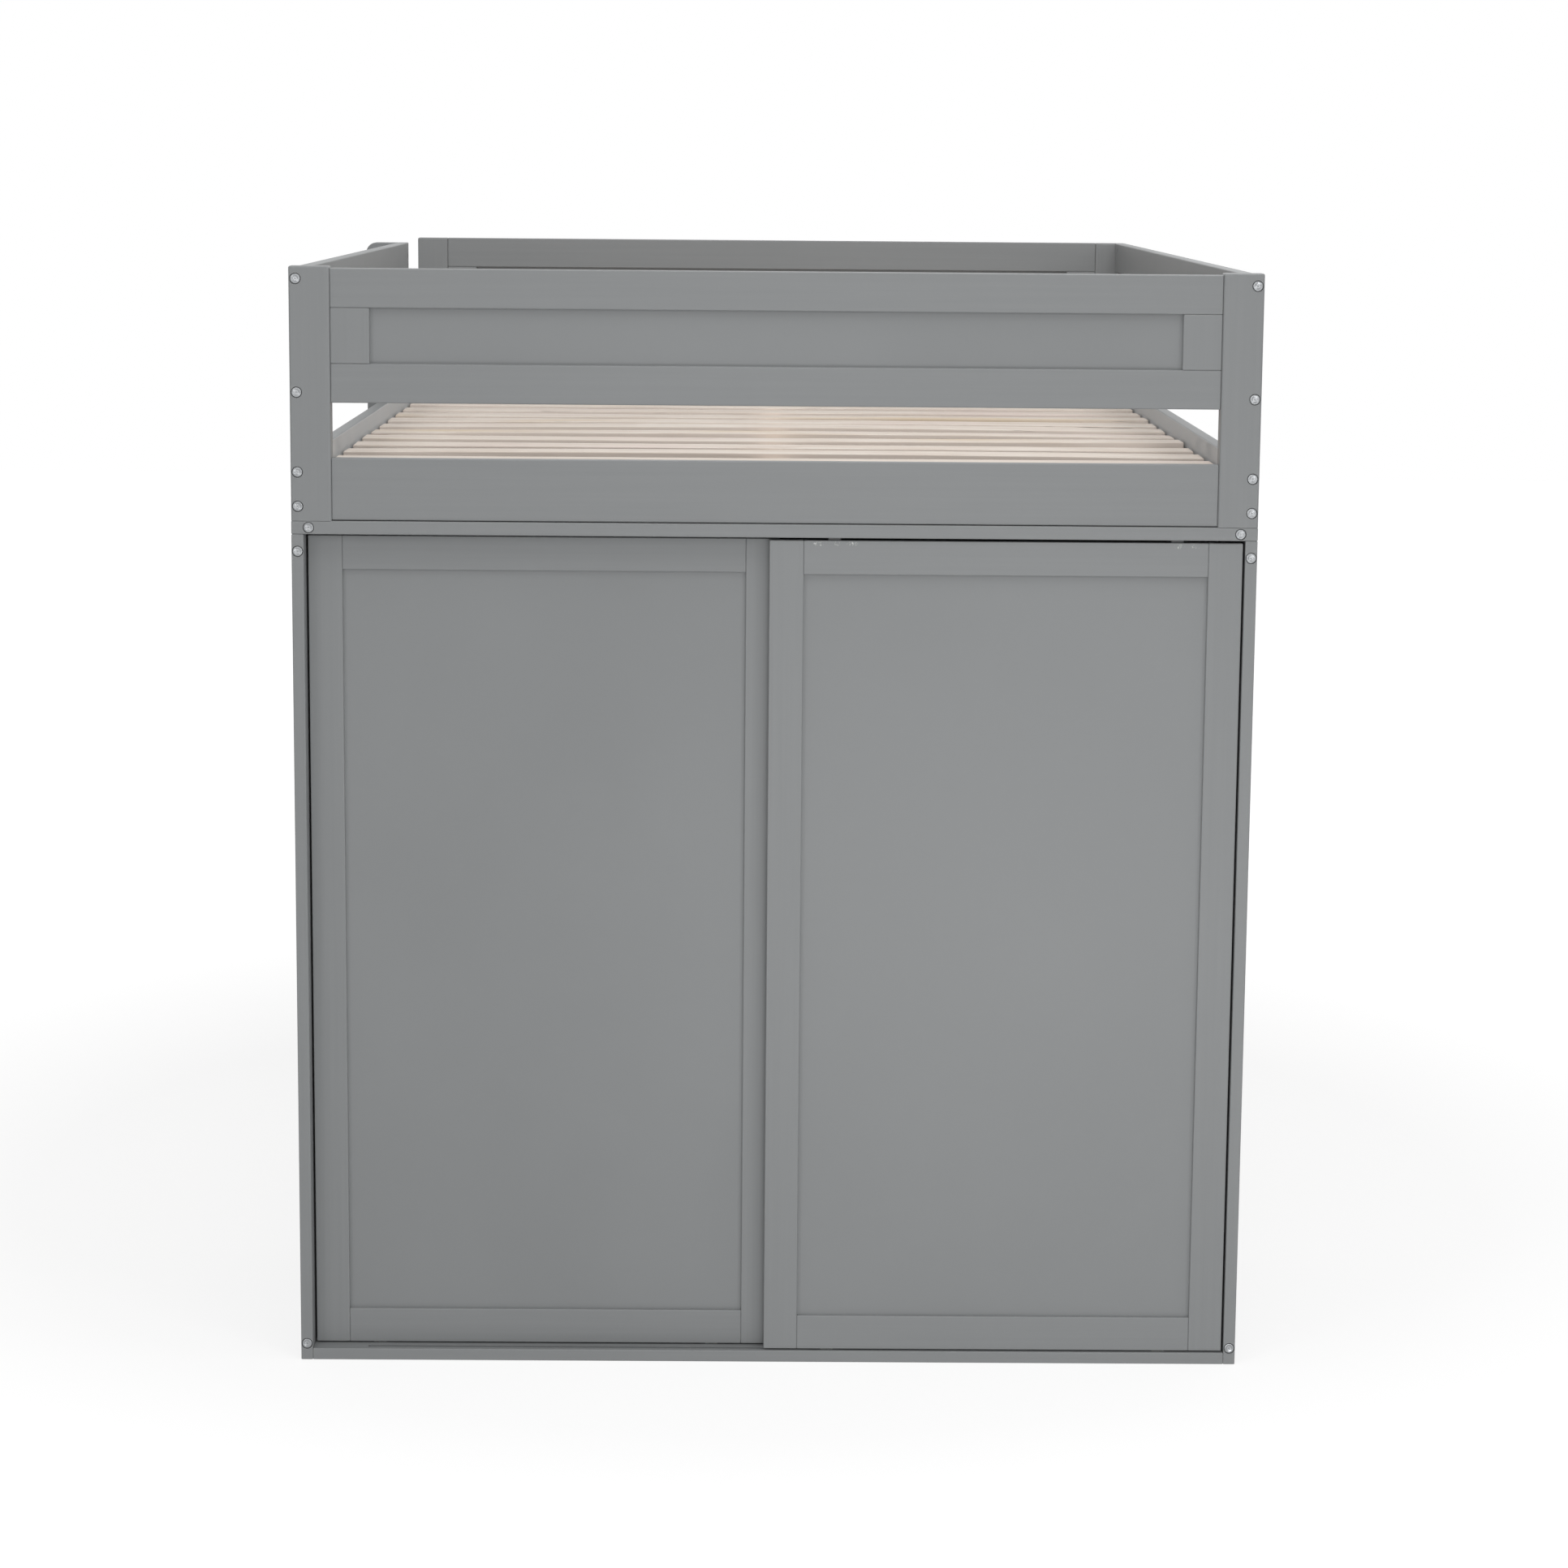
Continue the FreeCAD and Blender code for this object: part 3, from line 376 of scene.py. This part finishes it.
def pine(name):
    """Pine whose figure is shifted by each board's own number."""
    shader = Shader(bpy.data.materials.new(name))
    board = shader.add("Attribute", attribute_name="board").outputs["Fac"]
    shift = shader.add("CombineXYZ", {0: shader.maths("MULTIPLY", board, BOARD_SHIFT), 2: board})
    place = shader.vector("ADD", shader.place(), shift.outputs[0])
    knot_place = shader.vector("MULTIPLY", place, KNOT_STRETCH)
    knot_gap = shader.add("TexVoronoi", {"Vector": knot_place, "Scale": 1.0}).outputs["Distance"]
    swirl = shader.remap(knot_gap, *KNOT_SWIRL_LIMITS)
    grain = shader.stretched_noise(place, RING_STRETCH, RING_DETAIL, RING_ROUGHNESS)
    rings = shader.maths("SINE", shader.weighted(grain, RING_COUNT, swirl, KNOT_RING_COUNT))
    rings = shader.remap(rings, -1.0, 1.0)
    fibre = shader.stretched_noise(place, FIBRE_STRETCH)
    tone = shader.weighted(rings, RING_SHARE, fibre, FIBRE_SHARE)
    colour = shader.ramp(tone, PINE_STOPS)
    # Sides and fronts painted lighter than the tops: painted light that lifts them out of the shade between the
    # slats
    facing = shader.maths("ABSOLUTE", shader.add("SeparateXYZ", {0: shader.normal()}).outputs["Z"])
    side_painted_light = shader.remap(facing, *SIDE_PAINTED_LIGHT_COSINES, 0.0, SIDE_PAINTED_LIGHT_SHARE)
    colour = shader.blend(side_painted_light, colour, PINE_SIDE_PAINTED_LIGHT)
    patch = shader.stretched_noise(place, PATCH_STRETCH)
    colour = shader.blend(shader.remap(patch, *PINK_LIMITS, 0.0, PINK_SHARE), colour, PINE_PINK)
    colour = shader.blend(shader.remap(patch, *GOLD_LIMITS, 0.0, GOLD_SHARE), colour, PINE_GOLD)
    colour = shader.blend(shader.remap(knot_gap, *KNOT_CORE_LIMITS), colour, KNOT)
    marks = shader.remap(shader.stretched_noise(place, MARK_STRETCH), *MARK_LIMITS, 0.0, MARK_SHARE)
    colour = shader.blend(marks, colour, STREAK)
    rough = shader.remap(fibre, NOISE_LOW, NOISE_HIGH, *PINE_ROUGHNESS)
    normal = shader.bump(tone, PINE_BUMP_DEPTH, PINE_BUMP_STRENGTH)
    return shader.surface(Base_Color=colour, Roughness=rough, Normal=normal)


# Zinc and chrome: dark and light colour, roughness, scale of the clouding
# Light grey painted on rounded metal rims: a painted highlight
METAL_RIM_HIGHLIGHT = srgb(222, 223, 225)
ZINC_PLATE = (srgb(136, 138, 140), srgb(152, 154, 156), (0.28, 0.36), 160.0)
CHROME_PLATE = (srgb(208, 210, 213), srgb(224, 225, 227), (0.06, 0.16), 120.0)
CLOUD_DETAIL, CLOUD_ROUGHNESS = 3.0, 0.6
# Scale of the handling marks, as a multiple of the clouding's
HANDLING_SCALE = 3
METAL_BUMP_DEPTH, METAL_BUMP_STRENGTH = 0.00005, 0.3


def metal(name, dark, light, roughness, scale):
    """Plated metal with faint clouding, handling marks, and rims painted lighter as a painted highlight."""
    shader = Shader(bpy.data.materials.new(name))
    place = shader.place()
    cloud = shader.noise(place, scale, CLOUD_DETAIL, CLOUD_ROUGHNESS)
    colour = shader.ramp(cloud, ((NOISE_LOW, dark), (NOISE_HIGH, light)))
    # Rims painted lighter than the faces: a painted highlight
    colour = shader.blend(edges(shader, RIM_REACH, RIM_COSINES), colour, METAL_RIM_HIGHLIGHT)
    handling = shader.noise(place, scale * HANDLING_SCALE)
    rough = shader.remap(handling, NOISE_LOW, NOISE_HIGH, *roughness)
    normal = shader.bump(cloud, METAL_BUMP_DEPTH, METAL_BUMP_STRENGTH)
    return shader.surface(Base_Color=colour, Roughness=rough, Normal=normal, Metallic=1.0)


# Nylon: white for the rollers and their housings, grey for the top guides
WHITE_NYLON = (srgb(216, 214, 206), srgb(232, 231, 225))
GREY_NYLON = (srgb(92, 93, 94), srgb(108, 109, 110))
NYLON_SCALE, NYLON_DETAIL = 90.0, 3.0
NYLON_GRAIN_SCALE, NYLON_GRAIN_DETAIL = 1800.0, 1.0
NYLON_ROUGHNESS = (0.42, 0.58)
NYLON_BUMP_DEPTH, NYLON_BUMP_STRENGTH = 0.00004, 0.4
NYLON_SUBSURFACE = 0.06


def nylon(name, dark, light):
    """Moulded nylon with faint clouding and a fine grain."""
    shader = Shader(bpy.data.materials.new(name))
    place = shader.place()
    cloud = shader.noise(place, NYLON_SCALE, NYLON_DETAIL)
    colour = shader.ramp(cloud, ((NOISE_LOW, dark), (NOISE_HIGH, light)))
    rough = shader.remap(cloud, NOISE_LOW, NOISE_HIGH, *NYLON_ROUGHNESS)
    grain = shader.noise(place, NYLON_GRAIN_SCALE, NYLON_GRAIN_DETAIL)
    normal = shader.bump(grain, NYLON_BUMP_DEPTH, NYLON_BUMP_STRENGTH)
    return shader.surface(Base_Color=colour, Roughness=rough, Normal=normal, Subsurface_Weight=NYLON_SUBSURFACE)


# Chips beside the door guides and smears on the left rail: places in metres from the pieces named below
GUIDE_HALF_LENGTH = 0.018
CHIP_DROP = 0.0045
CHIP_HALF = (0.0095, 0.006, 0.0045)
LEFT_CHIP_RUNS = (-0.024, 0.0, 0.026)
RIGHT_CHIP_RUNS = (0.002, 0.027)
CHIP_STRETCH = (230.0, 230.0, 170.0)
CHIP_LIMITS = (0.52, 0.74)
SMEAR_DROP = 0.013
SMEAR_HALF = (0.006, 0.07, 0.016)
SMEAR_RUNS = (0.045, 0.15, 0.28)
SMEAR_STRETCH = (60.0, 40.0, 70.0)
SMEAR_LIMITS = (0.46, 0.80)


def door_scuffs():
    """Small chips on the front door's top rail, beside its two guides."""
    low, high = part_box("right_door_top_guides")
    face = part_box("right_door_rails")[0].y
    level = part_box("right_door_rails")[1].z - CHIP_DROP
    places = [low.x + GUIDE_HALF_LENGTH + run for run in LEFT_CHIP_RUNS]
    places += [high.x - GUIDE_HALF_LENGTH + run for run in RIGHT_CHIP_RUNS]
    spots = [((x, face, level), CHIP_HALF) for x in places]
    return spots, CHIP_STRETCH, CHIP_LIMITS


def rail_scuffs():
    """Pale smears on the left side rail's inner face, above the slats."""
    low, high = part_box("left_side_rail")
    spots = [((high.x, low.y + run, high.z - SMEAR_DROP), SMEAR_HALF) for run in SMEAR_RUNS]
    return spots, SMEAR_STRETCH, SMEAR_LIMITS


# Nodes by the axis of their grain, and by material
GRAIN = {
    "X": ("near_end_board", "far_end_board", "far_end_stretchers", "near_guard_bottom_rail",
          "near_guard_top_rail", "far_guard_bottom_rail", "far_guard_top_rail", "left_door_rails",
          "wardrobe_top_front_rail", "wardrobe_top_rear_rail", "wardrobe_floor"),
    "Y": ("left_guard_bottom_rail", "left_guard_top_rail", "right_guard_bottom_rail",
          "right_guard_top_rail", "slat_ledgers", "ladder_treads", "wardrobe_left_rails",
          "wardrobe_right_rails", "wardrobe_top_cross_rails"),
    "Z": ("near_left_post", "near_right_post", "far_left_post", "far_right_post", "guard_stiles",
          "ladder_near_upright", "ladder_far_upright", "wardrobe_left_stiles", "wardrobe_right_stiles",
          "left_door_stiles", "right_door_stiles"),
}
PANELS = ("guard_panels", "wardrobe_left_panel", "wardrobe_right_panel", "wardrobe_back",
          "wardrobe_top_panels", "left_door_panel", "right_door_panel")
ZINC = ("frame_bolts", "barrel_nuts", "beam_hangers", "post_pins", "left_door_roller_axles",
        "right_door_roller_axles")
CHROME = ("hanging_rail", "hanging_rail_holders")


def dress(names, material):
    for name in names:
        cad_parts[name].data.materials.clear()
        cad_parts[name].data.materials.append(material)


def dress_frame():
    for axis, names in GRAIN.items():
        dress(names, paint("grey_paint_" + axis.lower(), axis))
    dress(PANELS, paint("grey_paint_panel"))
    dress(["right_door_rails"], paint("grey_paint_door_scuffed", "X", scuffs=door_scuffs()))
    # The side rails' inner faces are painted paler: painted light
    dress(["left_side_rail"], paint("grey_paint_left_rail", "Y", scuffs=rail_scuffs(), painted_light_side=1.0))
    dress(["right_side_rail"], paint("grey_paint_right_rail", "Y", painted_light_side=-1.0))
    dress(ZINC, metal("zinc", *ZINC_PLATE))
    dress(CHROME, metal("chrome", *CHROME_PLATE))
    wheels = [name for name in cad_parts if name.endswith(("roller", "housings"))]
    dress(wheels, nylon("nylon", *WHITE_NYLON))
    guides = [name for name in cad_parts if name.endswith("guides")]
    dress(guides, nylon("grey_nylon", *GREY_NYLON))
    dress(["centre_beam", "bed_slats"], pine("pine"))


# Slats: planks that have warped a little, in place of the straight ones; metres and degrees
SLAT_WIDTH = 0.068
SLAT_ROUND = 0.0015
SLAT_CHAMFER = 0.001
SLAT_STATIONS = 32
SLAT_CORNER_STEPS = 3
SLAT_FLAT_MARGIN = 0.0006
SLAT_SEED = 14
SLAT_CROOK = 0.0015
SLAT_TWIST = 0.9
SLAT_SHARP_ANGLE = 40
QUARTER_TURN = math.pi / 2
MILLIMETRES_PER_METRE = 1000
# Lift of each slat at its left end, middle and right end, in millimetres, from the near end
SLAT_LIFTS = (
    (0.5, 1, 1), (1, 2, 0.5), (0.5, 1, 2), (0.5, 3.3, 0.2), (0.5, 0.5, 0), (1.8, 1, 3.5), (0, 2.9, 0),
    (0, 4, 0), (0, 1.5, 0), (0.4, 0.5, 1.3), (0.3, 0.2, 0), (1, 0, 1), (0.5, 2, 0), (0, 1.5, 0.5),
)


def slat_outline(width, height, inset):
    """Rounded outline of a slat's section about its middle, as (y, z) points."""
    half_y, half_z = width / 2 - inset, height / 2 - inset
    radius = SLAT_ROUND
    points = []
    for quarter, (side_y, side_z) in enumerate(((1, 1), (-1, 1), (-1, -1), (1, -1))):
        middle = (side_y * (half_y - radius), side_z * (half_z - radius))
        arc = []
        for step in range(SLAT_CORNER_STEPS + 1):
            angle = QUARTER_TURN * (quarter + step / SLAT_CORNER_STEPS)
            arc.append((middle[0] + radius * math.cos(angle), middle[1] + radius * math.sin(angle)))
        margin_sine = SLAT_FLAT_MARGIN * math.sin(QUARTER_TURN * quarter)
        margin_cosine = SLAT_FLAT_MARGIN * math.cos(QUARTER_TURN * quarter)
        before = (arc[0][0] + margin_sine, arc[0][1] - margin_cosine)
        after = (arc[-1][0] - margin_cosine, arc[-1][1] - margin_sine)
        points += [before] + arc + [after]
    return points


def slat_stations(length):
    """Shares of a slat's length with their insets, which chamfer both ends."""
    run = 1 - 2 * SLAT_CHAMFER / length
    stations = [((1 - run) / 2 + run * step / SLAT_STATIONS, 0.0) for step in range(SLAT_STATIONS + 1)]
    return [(0.0, SLAT_CHAMFER)] + stations + [(1.0, SLAT_CHAMFER)]


def slat_points(low, high, middle_y, lifts, crook, twist):
    """Points of one warped slat, one ring for each station, and the number of points in a ring."""
    left, middle, right = lifts
    points = []
    count = 0
    for share, inset in slat_stations(high.x - low.x):
        outline = slat_outline(SLAT_WIDTH, high.z - low.z, inset)
        count = len(outline)
        bow = 4 * share * (1 - share)
        lift = left * (1 - share) + right * share + (middle - (left + right) / 2) * bow
        roll = twist[0] * (1 - share) + twist[1] * share
        lift = lift / MILLIMETRES_PER_METRE + abs(math.sin(roll)) * SLAT_WIDTH / 2
        for y, z in outline:
            turned_y = y * math.cos(roll) - z * math.sin(roll)
            turned_z = y * math.sin(roll) + z * math.cos(roll)
            points.append((low.x + share * (high.x - low.x), middle_y + turned_y + crook * bow,
                           (low.z + high.z) / 2 + turned_z + lift))
    return points, count


def slat_faces(first, total, count):
    """Faces round one slat and over its two ends, for rings of points that start at a number."""
    faces = []
    last = first + total - count
    for start in range(first, last, count):
        for corner in range(count):
            other = (corner + 1) % count
            faces.append((start + corner, start + other, start + count + other, start + count + corner))
    faces.append(tuple(range(first + count - 1, first - 1, -1)))
    faces.append(tuple(range(last, last + count)))
    return faces


def make_slats():
    """Warped slats as one mesh, each with its own number for the pine's figure."""
    low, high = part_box("bed_slats")
    pitch = (high.y - low.y - SLAT_WIDTH) / (len(SLAT_LIFTS) - 1)
    chance = random.Random(SLAT_SEED)
    points, faces, boards = [], [], []
    for index, lifts in enumerate(SLAT_LIFTS):
        middle_y = low.y + SLAT_WIDTH / 2 + index * pitch
        crook = chance.uniform(-SLAT_CROOK, SLAT_CROOK)
        twist = [math.radians(chance.uniform(-SLAT_TWIST, SLAT_TWIST)) for _ in range(2)]
        board = chance.random()
        slat, count = slat_points(low, high, middle_y, lifts, crook, twist)
        faces += slat_faces(len(points), len(slat), count)
        points += slat
        boards += [board] * len(slat)
    mesh = bpy.data.meshes.new("warped_slats")
    mesh.from_pydata(points, [], faces)
    tags = mesh.attributes.new("board", "FLOAT", "POINT")
    tags.data.foreach_set("value", boards)
    mesh.polygons.foreach_set("use_smooth", [True] * len(mesh.polygons))
    mesh.set_sharp_from_angle(angle=math.radians(SLAT_SHARP_ANGLE))
    mesh.materials.append(bpy.data.materials["pine"])
    slats = bpy.data.objects.new("warped_slats", mesh)
    bpy.context.scene.collection.objects.link(slats)
    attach(slats, "bed_frame")
    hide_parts("bed_slats")


make_camera()
make_world()
make_floor()
make_lamps()
bpy.context.scene.view_settings.view_transform = "Standard"
dress_frame()
make_slats()
